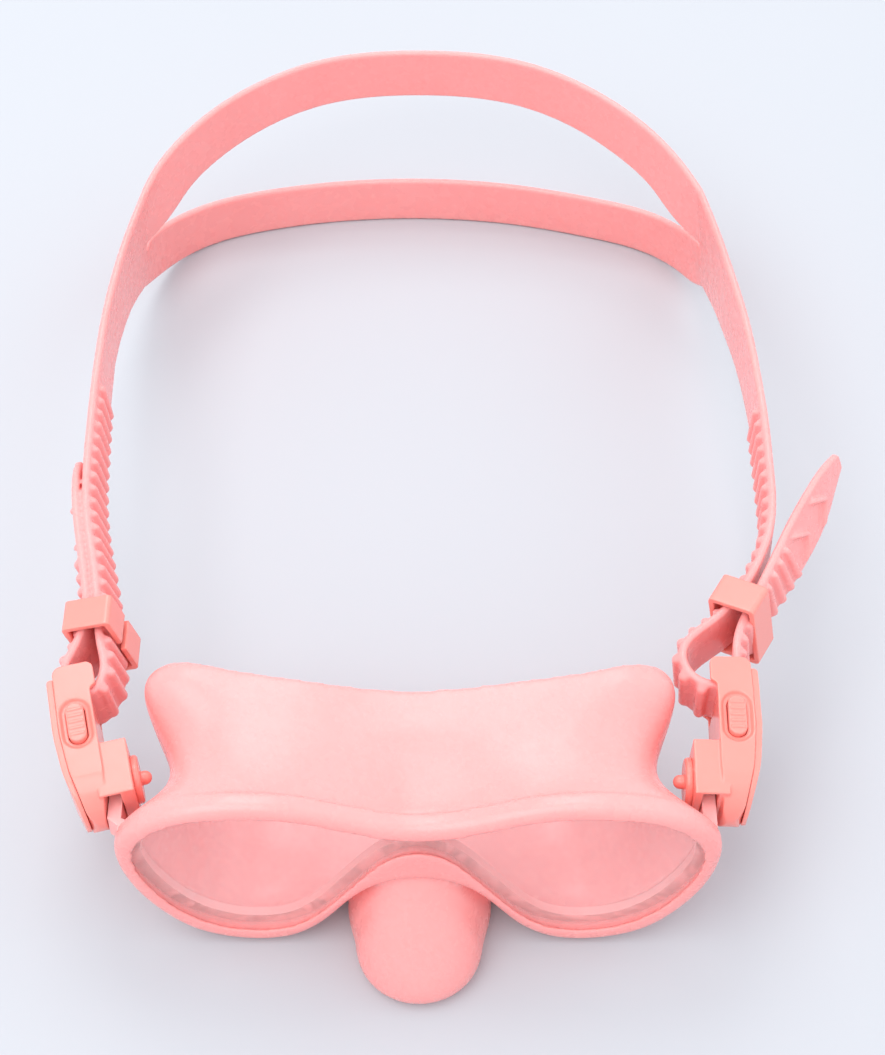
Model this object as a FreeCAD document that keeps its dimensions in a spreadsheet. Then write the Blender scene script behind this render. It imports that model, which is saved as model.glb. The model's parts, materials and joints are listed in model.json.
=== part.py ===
"""Child's one-lens swim mask with a split strap and two push-button swivel buckles.

Frame: X to the right, Y from the lens towards the back of the strap, Z up, millimetres.
The mask lies on its nose pocket and cheek skirt with the lens leaning back, and the
lower band of the strap lies on the same surface. The origin is on that surface, under
the flat on the nose pocket.
"""
import FreeCAD, Part
import math
import os

Vector = FreeCAD.Vector
Rotation = FreeCAD.Rotation
Placement = FreeCAD.Placement
X_AXIS = Vector(1, 0, 0)
Y_AXIS = Vector(0, 1, 0)
Z_AXIS = Vector(0, 0, 1)

doc = FreeCAD.newDocument("SwimMask")

# ---------------------------------------------------------------- driving dimensions
SIZES = [
    ("mask_tilt", 8.0, "lean of the lens plane, degrees"),
    ("mask_forward", 12.0, "rim front to the origin along Y"),
    ("lens_height", 43.0, "height of the lens reference line over the floor"),
    ("rim_depth", 10.0, "rim, front to back"),
    ("rim_front", 1.0, "rim lip proud of the lens"),
    ("lens_thick", 3.0, "toughened glass"),
    ("lens_overlap", 1.5, "lip of the rim over the lens edge"),
    ("ring_thick", 2.4, "rigid ring behind the lens"),
    ("skin", 2.0, "silicone wall"),
    ("skirt_depth", 44.0, "lens face to the rear corners of the skirt"),
    ("skirt_dip", 5.5, "rear edge further forward in the middle"),
    ("skirt_skew", -2.6, "the soft skirt leans to the left at its rear edge"),
    ("pin_left", 74.6, "left lug and pin centre from the middle plane"),
    ("pin_right", 71.6, "right lug and pin centre from the middle plane"),
    ("pin_back", 18.8, "swivel axis behind the rim front"),
    ("pin_radius", 2.4, "swivel pin"),
    ("pin_clearance", 0.05, "running fit of the pin in the lug"),
    ("lug_inside", 1.2, "lug's inner face from the pin centre"),
    ("lug_outside", 2.2, "lug's outer face from the pin centre"),
    ("lug_radius", 5.0, "round end of the lug"),
    ("lug_neck", 7.0, "height of the lug's neck"),
    ("lug_step", 1.9, "length of the lug's step outwards behind the ring"),
    ("block_length", 14.8, "hinge block along the buckle"),
    ("block_height", 19.0, "hinge block"),
    ("block_inner", 3.2, "inner face of the block from the pin centre"),
    ("slot_gap", 0.25, "slot beyond each face of the lug"),
    ("slot_height", 17.0, "slot for the lug"),
    ("body_inner", 3.4, "inner face of the housing from the pin centre"),
    ("body_outer", 12.6, "outer face of the housing from the pin centre"),
    ("head_inner", 1.8, "inner face of the housing's head from the pin centre"),
    ("body_rear", 31.0, "rear end of the housing from the swivel axis"),
    ("body_nose", 10.8, "round front end of the housing from the swivel axis"),
    ("body_height", 20.6, "housing"),
    ("chamber_height", 17.8, "window for the strap"),
    ("cover_thick", 1.7, "outer cover plate"),
    ("button_length", 11.0, "push button"),
    ("button_width", 4.6, "push button"),
    ("button_depth", 5.2, "push button, top to the spring seat"),
    ("button_proud", 0.9, "button over the housing's face"),
    ("button_fit", 0.15, "gap round the button"),
    ("button_travel", 1.8, "push"),
    ("ridge_pitch", 1.75, "grip ridges on the button"),
    ("ridge_radius", 0.45, "grip ridges on the button"),
    ("web_thick", 1.2, "web between the two buttons"),
    ("spring_wire", 0.7, "button spring wire"),
    ("spring_turns", 3, "button spring"),
    ("spring_radius", 1.5, "button spring coil"),
    ("roller_back", 27.0, "roller axis behind the swivel axis"),
    ("roller_out", 5.8, "roller axis from the lug centre"),
    ("roller_radius", 2.0, "strap roller"),
    ("roller_pin_radius", 1.0, "steel pin through the roller"),
    ("roller_clearance", 0.05, "running fit of the roller on its pin"),
    ("cap_radius", 6.2, "round cap over the swivel pin"),
    ("cap_thick", 1.7, "round cap over the swivel pin"),
    ("dome_radius", 1.8, "bump on the cap"),
    ("strap_thick", 2.2, "silicone strap"),
    ("strap_width", 17.2, "single strap at the sides"),
    ("keeper_inner_width", 10.2, "keeper, across both passes of the strap"),
    ("keeper_inner_height", 19.4, "keeper, along the width of the strap"),
    ("keeper_length", 9.2, "keeper, along the strap"),
    ("keeper_wall", 1.5, "keeper"),
    ("keeper_slit", 2.4, "opening in the keeper's inner wall"),
    ("keeper_lean", 14.0, "lean of the keepers, degrees"),
]

sheet = doc.addObject("Spreadsheet::Sheet", "Sizes")
for row, (alias, value, meaning) in enumerate(SIZES, start=1):
    sheet.set("A%d" % row, meaning)
    sheet.set("B%d" % row, str(value))
    sheet.setAlias("B%d" % row, alias)
doc.recompute()


def size(alias):
    """The value of one cell of the sheet."""
    return float(getattr(sheet, alias))


SIDES = {"left": -1, "right": 1}
BODY_YAW = {"left": 14.0, "right": 2.0}
PIN_SIDE = {"left": size("pin_left"), "right": size("pin_right")}
PIN_HEIGHT = size("lens_height")
PIN_Y = size("mask_forward") + size("pin_back")

parts = []


def keep(obj, label):
    """Name a finished sub-part; its label is its node name."""
    obj.Label = label
    parts.append(obj)
    return obj


# ---------------------------------------------------------------- small helpers
def bind(obj, **expressions):
    """Bind properties of an object to expressions on the sheet."""
    for prop, expression in expressions.items():
        obj.setExpression(prop, expression)


def new_body(name):
    return doc.addObject("PartDesign::Body", name)


def origin_plane(body, role):
    for feature in body.Origin.OriginFeatures:
        if feature.Role == role:
            return feature
    raise ValueError(role)


def sketch_on(body, name, geometry, plane="XY_Plane", offset=0.0):
    """A sketch on one of the body's own origin planes, moved along its normal."""
    sketch = body.newObject("Sketcher::SketchObject", name)
    sketch.AttachmentSupport = [(origin_plane(body, plane), "")]
    sketch.MapMode = "FlatFace"
    sketch.AttachmentOffset = Placement(Vector(0, 0, offset), Rotation())
    sketch.addGeometry(geometry, False)
    return sketch


def pad(body, sketch, length, midplane=True):
    feature = body.newObject("PartDesign::Pad", sketch.Name + "Pad")
    feature.Profile = sketch
    feature.Midplane = midplane
    bind(feature, Length=length)
    doc.recompute()
    return feature


def pocket(body, sketch, length, midplane=True):
    """A cut that is symmetric about its sketch; it must take something away."""
    before = body.Shape.Volume
    feature = body.newObject("PartDesign::Pocket", sketch.Name + "Pocket")
    feature.Profile = sketch
    feature.Midplane = midplane
    bind(feature, Length=length)
    doc.recompute()
    if body.Shape.Volume >= before:
        raise RuntimeError("pocket %s cut nothing" % sketch.Name)
    return feature


def round_edges(body, radius, chosen):
    """Fillet the edges of the body that the test picks."""
    names = ["Edge%d" % number for number, edge in enumerate(body.Shape.Edges, start=1) if chosen(edge)]
    base = body.Tip
    feature = body.newObject("PartDesign::Fillet", body.Name + "Round")
    feature.Base = (base, names)
    feature.Radius = radius
    doc.recompute()
    return feature


def polygon(points):
    """Straight edges round a list of (x, y) points."""
    corners = [Vector(x, y, 0) for x, y in points]
    return [Part.LineSegment(a, b) for a, b in zip(corners, corners[1:] + corners[:1])]


def rounded_polygon(points):
    """Edges round a list of (x, y, radius) corners, each corner an arc of that radius."""
    count = len(points)
    corners = [Vector(x, y, 0) for x, y, _ in points]
    ends = []
    for i, (_, _, radius) in enumerate(points):
        here = corners[i]
        back = (corners[i - 1] - here).normalize()
        ahead = (corners[(i + 1) % count] - here).normalize()
        if radius == 0:
            ends.append((here, here, None))
            continue
        half = back.getAngle(ahead) / 2
        reach = radius / math.tan(half)
        centre = here + (back + ahead).normalize() * (radius / math.sin(half))
        middle = centre + (here - centre).normalize() * radius
        ends.append((here + back * reach, here + ahead * reach, middle))
    edges = []
    for i in range(count):
        start, finish, middle = ends[i]
        if middle is not None:
            edges.append(Part.Arc(start, middle, finish))
        edges.append(Part.LineSegment(finish, ends[(i + 1) % count][0]))
    return edges


def turned(points, degrees):
    """The (x, y) points turned about the origin."""
    c = math.cos(math.radians(degrees))
    s = math.sin(math.radians(degrees))
    return [(x * c - y * s, x * s + y * c) for x, y in points]


def obround(length, width, x=0.0, y=0.0):
    """A slot outline along y with round ends, centred on (x, y)."""
    r = width / 2
    straight = length / 2 - r
    left = Vector(x - r, y + straight, 0)
    right = Vector(x + r, y + straight, 0)
    low_left = Vector(x - r, y - straight, 0)
    low_right = Vector(x + r, y - straight, 0)
    return [
        Part.Arc(right, Vector(x, y + length / 2, 0), left),
        Part.LineSegment(left, low_left),
        Part.Arc(low_left, Vector(x, y - length / 2, 0), low_right),
        Part.LineSegment(low_right, right),
    ]


# ---------------------------------------------------------------- mask outlines
# Half outlines in the lens plane: x outwards, z up from the lens reference line,
# from the middle of the top edge round the eye to the middle of the nose arch.
RIM_HALF = [
    (0, 9.5), (15, 12.5), (30, 17.5), (45, 18.8), (60, 15.5), (70, 9), (74.6, 2), (75, -6),
    (72.8, -16), (67, -28), (58, -38), (50, -41.6), (42.5, -42.8), (33, -41.0), (24.5, -34),
    (18, -24.5), (12, -17.5), (6, -13.8), (0, -12.8),
]
WINDOW_HALF = [
    (0, 5.4), (9.5, 6.8), (21, 10.8), (33, 14.3), (45, 14.9), (57, 13.0), (65, 8.4), (69.8, 1.2),
    (70.3, -6), (67, -17), (60, -28.4), (51.5, -34.8), (42.5, -36.9), (33.5, -35.2), (25, -27.5),
    (18.5, -18), (12.5, -9), (6.5, -2.4), (0, 0),
]
# Outer outlines of the skirt behind the rim. Their lower middle lies under the nose, so the
# nose pocket is open from behind, down to the edge that seals on the upper lip.
SKIRT_NECK_HALF = [
    (0, 8.6), (15, 11.4), (30, 15.6), (44, 16.8), (57, 14.2), (64, 8.2), (66.4, 1), (66.2, -8),
    (64.6, -17), (60, -27), (53, -35), (47, -38.2), (40, -39.4), (33, -38.8), (26, -37.2),
    (19, -36.4), (12.6, -36.2), (6.4, -36.1), (0, -36),
]
SKIRT_MID_HALF = [
    (0, 12.0), (15, 13.4), (30, 15.8), (43.5, 16.4), (53.6, 14), (59.6, 8.5), (61.8, 1), (61.8, -8),
    (60.4, -18), (57, -28), (51, -35), (45.6, -38), (39, -38.8), (31, -38.4), (24, -37.4),
    (18, -36.8), (12, -36.5), (6, -36.3), (0, -36.2),
]
SKIRT_REAR_HALF = [
    (0, 16.2), (15, 16.8), (30, 18), (45.5, 18.8), (58.5, 18.6), (64.8, 14.5), (65.6, 4), (63.9, -8),
    (60.6, -18), (55.4, -26.5), (49.2, -32.5), (43, -35.4), (36, -36.6), (29, -36.8), (23, -36.8),
    (17, -36.6), (11, -36.3), (5.5, -36.1), (0, -36),
]


def mirrored(half):
    """The full outline from its right half, without repeating the two middle points."""
    left = [(-x, z) for x, z in reversed(half[1:-1])]
    return list(half) + left


def grown(points, distance):
    """The outline moved outwards along its own normal."""
    count = len(points)
    moved = []
    for i, (x, z) in enumerate(points):
        before = points[i - 1]
        after = points[(i + 1) % count]
        along = Vector(after[0] - before[0], after[1] - before[1], 0).normalize()
        moved.append((x - along.y * distance, z + along.x * distance))
    return moved


def loop_wire(points, depth):
    """A closed smooth wire through the outline, at a depth behind the lens face."""
    curve = Part.BSplineCurve()
    curve.interpolate([Vector(x, depth, z) for x, z in points], PeriodicFlag=True)
    return Part.Wire(curve.toShape())


def prism(points, start, finish):
    """The outline carried straight back from one depth to another."""
    face = Part.Face(loop_wire(points, start))
    return face.extrude(Y_AXIS * (finish - start))


def biggest(shape):
    """The largest solid of a result."""
    return max(shape.Solids, key=lambda solid: solid.Volume)


def mask_placement():
    """Lens plane leaned back about X, its reference line over the floor."""
    base = Vector(0, size("mask_forward"), size("lens_height"))
    return Placement(base, Rotation(X_AXIS, -size("mask_tilt")))


def as_feature(label, shape, placement):
    obj = doc.addObject("Part::Feature", label)
    obj.Shape = shape
    obj.Placement = placement
    return keep(obj, label)


rim = mirrored(RIM_HALF)
window = mirrored(WINDOW_HALF)
lens_outline = grown(window, size("lens_overlap"))
ring_outline = grown(window, size("lens_overlap") + 1.0)
ledge_outline = grown(window, -size("lens_overlap"))


# ---------------------------------------------------------------- skirt, nose pocket
NOSE_BACK = 16.0
# height in the lens plane, half width, front edge ahead (-) of the lens face
NOSE_LEVELS = [
    (-7.0, 8.5, 2.0), (-13.5, 11.0, -1.4), (-22.0, 14.5, -8.0), (-31.0, 17.6, -15.0),
    (-38.0, 18.6, -18.6), (-42.0, 18.0, -18.8), (-45.6, 15.5, -15.8),
]


def nose_section(half_width, front, height, inset):
    """One level ring of the nose pocket: widest well back, round in front."""
    steps = 20
    widest = 9.0
    wide = half_width - inset
    points = []
    for i in range(steps):
        angle = 2 * math.pi * i / steps
        ahead = math.cos(angle)
        reach = widest - front - inset if ahead > 0 else NOSE_BACK - widest - inset
        points.append(Vector(wide * math.sin(angle), widest - reach * ahead, height))
    curve = Part.BSplineCurve()
    curve.interpolate(points, PeriodicFlag=True)
    return Part.Wire(curve.toShape())


def nose_solid(inset):
    """The nose pocket's outside, or its hollow when inset by the wall."""
    wires = []
    for height, half_width, front in NOSE_LEVELS:
        wires.append(nose_section(half_width, front, height + inset * 0.6, inset))
    return Part.makeLoft(wires, True, False)


def skewed(points, depth):
    """The outline leaned sideways in proportion to its depth."""
    shift = size("skirt_skew") * depth / size("skirt_depth")
    return [(x + shift, z) for x, z in points]


# the bell's outline two thirds of the way back, nearer to the rear edge than to the waist
bell_half = [(a[0] + 0.8 * (b[0] - a[0]), a[1] + 0.6 * (b[1] - a[1]))
             for a, b in zip(SKIRT_MID_HALF, SKIRT_REAR_HALF)]


def skirt_loft(wall, overrun):
    """The bell behind the rim, drawn in by a wall."""
    depth = size("skirt_depth") + overrun
    root = (5.0, grown(rim, -0.8))
    if wall:
        root = (size("lens_thick") + size("ring_thick") - 0.2, ledge_outline)
    sections = [
        root, (11.0, grown(mirrored(SKIRT_NECK_HALF), -wall)),
        (20.0, grown(mirrored(SKIRT_MID_HALF), -wall)), (32.0, grown(mirrored(bell_half), -wall)),
        (depth, grown(mirrored(SKIRT_REAR_HALF), -wall)),
    ]
    return Part.makeLoft([loop_wire(skewed(points, y), y) for y, points in sections], True, False)


def rear_trim():
    """Everything behind the curved rear edge of the skirt."""
    deep = size("skirt_depth")
    dip = size("skirt_dip")
    edge = Part.BSplineCurve()
    across = (-90, -58, -30, 0, 30, 58, 90)
    edge.interpolate([Vector(x, deep - dip * (1 - (x / 58) ** 2), -80) for x in across])
    far = deep + 30
    outline = [edge.toShape(), Part.makeLine(edge.EndPoint, Vector(90, far, -80)),
               Part.makeLine(Vector(90, far, -80), Vector(-90, far, -80)),
               Part.makeLine(Vector(-90, far, -80), edge.StartPoint)]
    return Part.Face(Part.Wire(outline)).extrude(Z_AXIS * 160)


def make_skirt():
    skin = size("skin")
    back = 5.2
    ring_back = size("lens_thick") + size("ring_thick")
    hull = prism(rim, -size("rim_front"), back).fuse(skirt_loft(0, 1.0))
    hull = hull.fuse(nose_solid(0.0))
    # the flat that the mask lies on
    floor_box = Part.makeBox(300, 300, 60, Vector(-150, -150, -60))
    floor_box.Placement = mask_placement().inverse().multiply(floor_box.Placement)
    hull = hull.cut(floor_box)
    body = hull.cut(skirt_loft(skin, 2.0))
    body = body.cut(nose_solid(skin))
    body = body.cut(rear_trim())
    body = body.cut(prism(window, -5, 0.5))
    body = body.cut(prism(lens_outline, 0, size("lens_thick")))
    body = body.cut(prism(ring_outline, size("lens_thick"), ring_back))
    for name in SIDES:
        body = body.cut(lug_blank(name)).cut(swing_recess(name))
    return biggest(body)


# ---------------------------------------------------------------- rigid ring and its lugs
def pin_point(x=0.0):
    """The swivel axis in the mask's own frame."""
    tilt = math.radians(size("mask_tilt"))
    return Vector(x, size("pin_back") * math.cos(tilt), size("pin_back") * math.sin(tilt))


def lug_blank(name):
    """Neck and round end of one lug, in the mask's own frame, without its bore."""
    sign = SIDES[name]
    half = size("lug_neck") / 2
    inner = PIN_SIDE[name] - size("lug_inside")
    thick = size("lug_inside") + size("lug_outside")
    outer = inner + thick
    start = size("lens_thick") + 0.3
    foot_end = size("lens_thick") + size("ring_thick")
    foot_in = size("pin_right") - 3.0
    foot_out = min(outer, size("pin_right") + 2.4)
    straight = foot_end + size("lug_step")
    eye = pin_point(min(sign * inner, sign * outer))
    # seen from above: the foot in the ring, a joggle outwards, then the straight tab
    plan = [
        (foot_in, start), (foot_out, start), (foot_out, foot_end), (outer, straight),
        (outer, eye.y), (inner, eye.y), (inner, straight), (foot_in, foot_end),
    ]
    corners = [Vector(sign * x, y, -30) for x, y in plan]
    above = Part.Face(Part.makePolygon(corners + corners[:1])).extrude(Z_AXIS * 60)
    # seen from the side: the tab rises to the swivel axis
    side_view = [
        (start, -half), (foot_end, -half), (eye.y, eye.z - half),
        (eye.y, eye.z + half), (foot_end, half), (start, half),
    ]
    corners = [Vector(-100, y, z) for y, z in side_view]
    beside = Part.Face(Part.makePolygon(corners + corners[:1])).extrude(X_AXIS * 200)
    disc = Part.makeCylinder(size("lug_radius"), thick, eye, X_AXIS)
    return above.common(beside).fuse(disc).removeSplitter()


def swing_recess(name):
    """Room in the rim's rear for the corners of the hinge block as it swings."""
    sign = SIDES[name]
    reach = math.hypot(size("block_length") / 2 + 0.7, size("block_height") / 2) + 0.4
    start = PIN_SIDE[name] - size("block_inner") - 1.5
    drum = Part.makeCylinder(reach, 20, pin_point(sign * start), X_AXIS * sign)
    return drum


def make_ring():
    start = size("lens_thick")
    ring = prism(ring_outline, start, start + size("ring_thick"))
    ring = ring.cut(prism(ledge_outline, start - 1, start + size("ring_thick") + 1))
    for name in SIDES:
        ring = ring.fuse(lug_blank(name))
    bore = size("pin_radius") + size("pin_clearance")
    ring = ring.cut(Part.makeCylinder(bore, 200, pin_point(-100), X_AXIS))
    return biggest(ring)


as_feature("skirt", make_skirt(), mask_placement())
as_feature("lens_frame", make_ring(), mask_placement())
as_feature("lens", prism(lens_outline, 0, size("lens_thick")), mask_placement())


# ---------------------------------------------------------------- buckles
def side_placement(sign, yaw, along=0.0, out=0.0, height=0.0):
    """Frame of one buckle at its swivel axis; the rear end swings outwards by yaw."""
    turn = Rotation(Z_AXIS, -sign * yaw)
    name = "right" if sign > 0 else "left"
    base = Vector(sign * PIN_SIDE[name], PIN_Y, PIN_HEIGHT)
    return Placement(base + turn.multVec(Vector(sign * out, along, height)), turn)


# Middle of the buttons from the pin centre: outwards and backwards.
BUTTON_OUT = 8.0
BUTTON_BACK = 13.8


def round_front(body, name, half, nose):
    """Trim a buckle part to a round front end, seen from the side."""
    edge = half + 3
    corners = [
        (0, -half), (0, -edge), (-nose - 5, -edge), (-nose - 5, edge), (0, edge), (0, half),
    ]
    edges = polygon(corners)[:-1]
    edges.append(Part.Arc(Vector(0, half, 0), Vector(-nose, 0, 0), Vector(0, -half, 0)))
    pocket(body, sketch_on(body, "RoundFront" + name, edges, "YZ_Plane"), "Sizes.body_outer * 3")


def make_base(name, sign):
    """Housing with its hinge block: strap chamber, roller bores, button wells, lug slot."""
    body = new_body(name + "Base")
    inner = size("body_inner")
    outer = size("body_outer")
    rear = size("body_rear")
    nose = size("body_nose")
    head = size("head_inner")
    outline = [
        (head, rear, 2.0), (outer - 0.4, rear, 2.5), (outer, 12, 45), (outer - 1.0, 1, 30),
        (outer - 3.6, -nose, 3.0), (inner + 0.6, -nose, 1.5), (inner, 0, 0),
        (inner, 23.2, 1.0), (head, 24.4, 1.0),
    ]
    outline = [(sign * x, y, r) for x, y, r in outline]
    pad(body, sketch_on(body, "HousingOutline" + name, rounded_polygon(outline)), "Sizes.body_height")

    round_front(body, name, size("body_height") / 2, nose)

    block = -size("block_inner")
    half = size("block_length") / 2
    corners = [(block, -half), (block, half), (inner + 2, half), (inner + 2, -half)]
    corners = [(sign * x, y) for x, y in corners]
    pad(body, sketch_on(body, "BlockOutline" + name, polygon(corners)), "Sizes.block_height")

    # chamber for the strap: open to the inner side and to the rear
    chamber = [
        (head - 3, 20.4), (outer - 2.6, 20.4), (outer - 1.7, 23.4),
        (outer - 1.7, rear + 3), (head - 3, rear + 3),
    ]
    chamber = [(sign * x, y) for x, y in chamber]
    pocket(body, sketch_on(body, "StrapChamber" + name, polygon(chamber)), "Sizes.chamber_height")

    # slot for the lug, square to the swivel axis and open to the front
    gap = size("slot_gap")
    inside = -size("lug_inside") - gap
    outside = size("lug_outside") + gap
    behind = size("lug_radius") + 0.4
    slot = [(inside, -14), (outside, -14), (outside, behind), (inside, behind)]
    slot = [(sign * x, y) for x, y in turned(slot, BODY_YAW[name])]
    pocket(body, sketch_on(body, "LugSlot" + name, polygon(slot)), "Sizes.slot_height")

    # wells for the two buttons, with a web between them
    fit = size("button_fit")
    well = obround(
        size("button_length") + 2 * fit, size("button_width") + 2 * fit, sign * BUTTON_OUT, BUTTON_BACK)
    pocket(body, sketch_on(body, "ButtonWell" + name, well), "Sizes.body_height + 2")
    web = obround(size("button_length") + 1, size("button_width") + 1, sign * BUTTON_OUT, BUTTON_BACK)
    pad(body, sketch_on(body, "ButtonWeb" + name, web), "Sizes.web_thick")

    # bore of the roller pin
    centre = Vector(sign * size("roller_out"), size("roller_back"), 0)
    bore = [Part.Circle(centre, Z_AXIS, size("roller_pin_radius"))]
    pocket(body, sketch_on(body, "RollerBore" + name, bore), "Sizes.body_height - 1")

    placement = side_placement(sign, BODY_YAW[name])
    body.Placement = placement
    doc.recompute()

    # bore of the swivel pin, along X through both pins of the mask
    drill = doc.addObject("Part::Cylinder", name + "SwivelDrill")
    bind(drill, Radius="Sizes.pin_radius")
    drill.Height = size("block_inner") + 2 + size("body_inner") + 3
    base = Vector(sign * (PIN_SIDE[name] - size("block_inner") - 2), PIN_Y, PIN_HEIGHT)
    drill.Placement = Placement(base, Rotation(Z_AXIS, X_AXIS * sign))
    cut = doc.addObject("Part::Cut", name + "BaseBored")
    cut.Base = body
    cut.Tool = drill
    return keep(cut, "buckle_base_" + name)


def make_cover(name, sign):
    """Curved outer plate that closes the housing and hides the strap's way through."""
    body = new_body(name + "Cover")
    outer = size("body_outer")
    rear = size("body_rear")
    nose = size("body_nose")
    thick = size("cover_thick")
    # the same curve as the housing's outer side, and the plate's own outer side
    outline = [
        (outer - 0.3, rear - 3.0, 0), (outer, 12, 45), (outer - 1.0, 1, 30), (outer - 3.4, -nose + 0.4, 0),
        (outer - 2.2, -nose + 0.6, 0.6), (outer - 1.0 + thick, 1, 32),
        (outer + thick, 12, 47), (outer - 0.3 + thick, rear - 3.0, 1.0),
    ]
    outline = [(sign * x, y, r) for x, y, r in outline]
    pad(body, sketch_on(body, "CoverOutline" + name, rounded_polygon(outline)), "Sizes.body_height - 1.4")
    round_front(body, "Cover" + name, size("body_height") / 2 - 0.7, nose - 0.4)

    body.Placement = side_placement(sign, BODY_YAW[name])
    doc.recompute()
    return keep(body, "buckle_cover_" + name)


def make_button(name, sign, upper):
    """Squeeze button: obround key with grip ridges across its face."""
    way = 1 if upper else -1
    tag = name + ("Upper" if upper else "Lower")
    body = new_body(tag + "Button")
    outline = obround(size("button_length"), size("button_width"))
    key = sketch_on(body, "Key" + tag, outline)
    pad(body, key, "Sizes.button_depth", midplane=False)
    top = size("button_depth")
    round_edges(body, 0.5, lambda edge: edge.BoundBox.ZMin > top - 0.01)
    ridge = sketch_on(body, "Ridge" + tag, [
        Part.Circle(Vector(-2 * size("ridge_pitch"), top - 0.1, 0), Z_AXIS, size("ridge_radius")),
    ], "YZ_Plane")
    bar = pad(body, ridge, "Sizes.button_width - 1.0")
    pattern = body.newObject("PartDesign::LinearPattern", "Ridges" + tag)
    pattern.Originals = [bar]
    pattern.Direction = (ridge, ["H_Axis"])
    pattern.Occurrences = 5
    bind(pattern, Length="Sizes.ridge_pitch * 4")
    body.Tip = pattern
    doc.recompute()
    foot = size("body_height") / 2 + size("button_proud") - size("button_depth")
    place = side_placement(sign, BODY_YAW[name], BUTTON_BACK, BUTTON_OUT, way * foot)
    if not upper:
        place.Rotation = place.Rotation.multiply(Rotation(Y_AXIS, 180))
    body.Placement = place
    doc.recompute()
    return keep(body, "button_%s_%s" % ("upper" if upper else "lower", name))


def make_spring(name, sign, upper):
    """Compression spring from the web to the underside of one button."""
    foot = size("body_height") / 2 + size("button_proud") - size("button_depth")
    web = size("web_thick") / 2
    wire = size("spring_wire")
    height = foot - web - wire - 0.04
    turns = size("spring_turns")
    path = Part.makeHelix(height / turns, height, size("spring_radius"))
    section = Part.Wire(Part.makeCircle(wire / 2, Vector(size("spring_radius"), 0, 0), Y_AXIS))
    coil = Part.Wire(path).makePipeShell([section], True, True)
    start = web + wire / 2 + 0.02
    if not upper:
        start = -start - height
    place = side_placement(sign, BODY_YAW[name], BUTTON_BACK, BUTTON_OUT, start)
    return as_feature("button_spring_%s_%s" % ("upper" if upper else "lower", name), coil, place)


def make_roller(name, sign):
    """Tube that the strap turns round; it spins on a steel pin."""
    tube = doc.addObject("Part::Cylinder", name + "RollerBlank")
    bind(tube, Radius="Sizes.roller_radius", Height="Sizes.chamber_height - 0.4")
    hole = doc.addObject("Part::Cylinder", name + "RollerHole")
    bind(hole, Radius="Sizes.roller_pin_radius + Sizes.roller_clearance", Height="Sizes.chamber_height")
    roller = doc.addObject("Part::Cut", name + "Roller")
    roller.Base = tube
    roller.Tool = hole
    along = size("roller_back")
    out = size("roller_out")
    roller.Placement = side_placement(sign, BODY_YAW[name], along, out, -size("chamber_height") / 2 + 0.2)
    keep(roller, "strap_roller_" + name)

    pin = doc.addObject("Part::Cylinder", name + "RollerPin")
    bind(pin, Radius="Sizes.roller_pin_radius", Height="Sizes.body_height - 1")
    pin.Placement = side_placement(sign, BODY_YAW[name], along, out, -size("body_height") / 2 + 0.5)
    keep(pin, "roller_pin_" + name)


def make_swivel(name, sign):
    """Pin along X through the lug, and the round cap over its inner end."""
    pin = doc.addObject("Part::Cylinder", name + "SwivelPin")
    bind(pin, Radius="Sizes.pin_radius")
    pin.Height = size("block_inner") + size("body_inner") + 2.3
    base = Vector(sign * (PIN_SIDE[name] - size("block_inner") + 0.7), PIN_Y, PIN_HEIGHT)
    pin.Placement = Placement(base, Rotation(Z_AXIS, X_AXIS * sign))
    keep(pin, "swivel_pin_" + name)

    body = new_body(name + "Cap")
    thick = size("cap_thick")
    radius = size("cap_radius")
    dome = size("dome_radius")
    stand = 0.9
    profile = [
        Part.LineSegment(Vector(0, 0, 0), Vector(radius, 0, 0)),
        Part.LineSegment(Vector(radius, 0, 0), Vector(radius, thick - 0.8, 0)),
        Part.Arc(Vector(radius, thick - 0.8, 0), Vector(radius - 0.25, thick - 0.23, 0),
                 Vector(radius - 0.8, thick, 0)),
        Part.LineSegment(Vector(radius - 0.8, thick, 0), Vector(dome, thick, 0)),
        Part.LineSegment(Vector(dome, thick, 0), Vector(dome, thick + stand, 0)),
        Part.Arc(Vector(dome, thick + stand, 0),
                 Vector(dome * math.sqrt(0.5), thick + stand + dome * math.sqrt(0.5), 0),
                 Vector(0, thick + stand + dome, 0)),
        Part.LineSegment(Vector(0, thick + stand + dome, 0), Vector(0, 0, 0)),
    ]
    sketch = sketch_on(body, "CapProfile" + name, profile)
    turn = body.newObject("PartDesign::Revolution", "CapTurn" + name)
    turn.Profile = sketch
    turn.ReferenceAxis = (sketch, ["V_Axis"])
    turn.Angle = 360
    doc.recompute()
    place = side_placement(sign, BODY_YAW[name], 0, -size("block_inner"), 0)
    place.Rotation = place.Rotation.multiply(Rotation(Y_AXIS, X_AXIS * -sign))
    body.Placement = place
    keep(body, "swivel_cap_" + name)


for side, side_sign in SIDES.items():
    make_base(side, side_sign)
    make_cover(side, side_sign)
    make_button(side, side_sign, True)
    make_button(side, side_sign, False)
    make_spring(side, side_sign, True)
    make_spring(side, side_sign, False)
    make_roller(side, side_sign)
    make_swivel(side, side_sign)


# ---------------------------------------------------------------- strap
# A station of the strap is (x, y, lean, low, high): its upper edge seen from above, how
# far its lower edge stands to +X of the upper one, and the two edges' heights. Here y is
# measured from the rim's front. The strap is soft, so its two sides don't lie alike.
HALF_WIDTH = size("strap_width") / 2
LOW = PIN_HEIGHT - HALF_WIDTH
HIGH = PIN_HEIGHT + HALF_WIDTH


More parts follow.
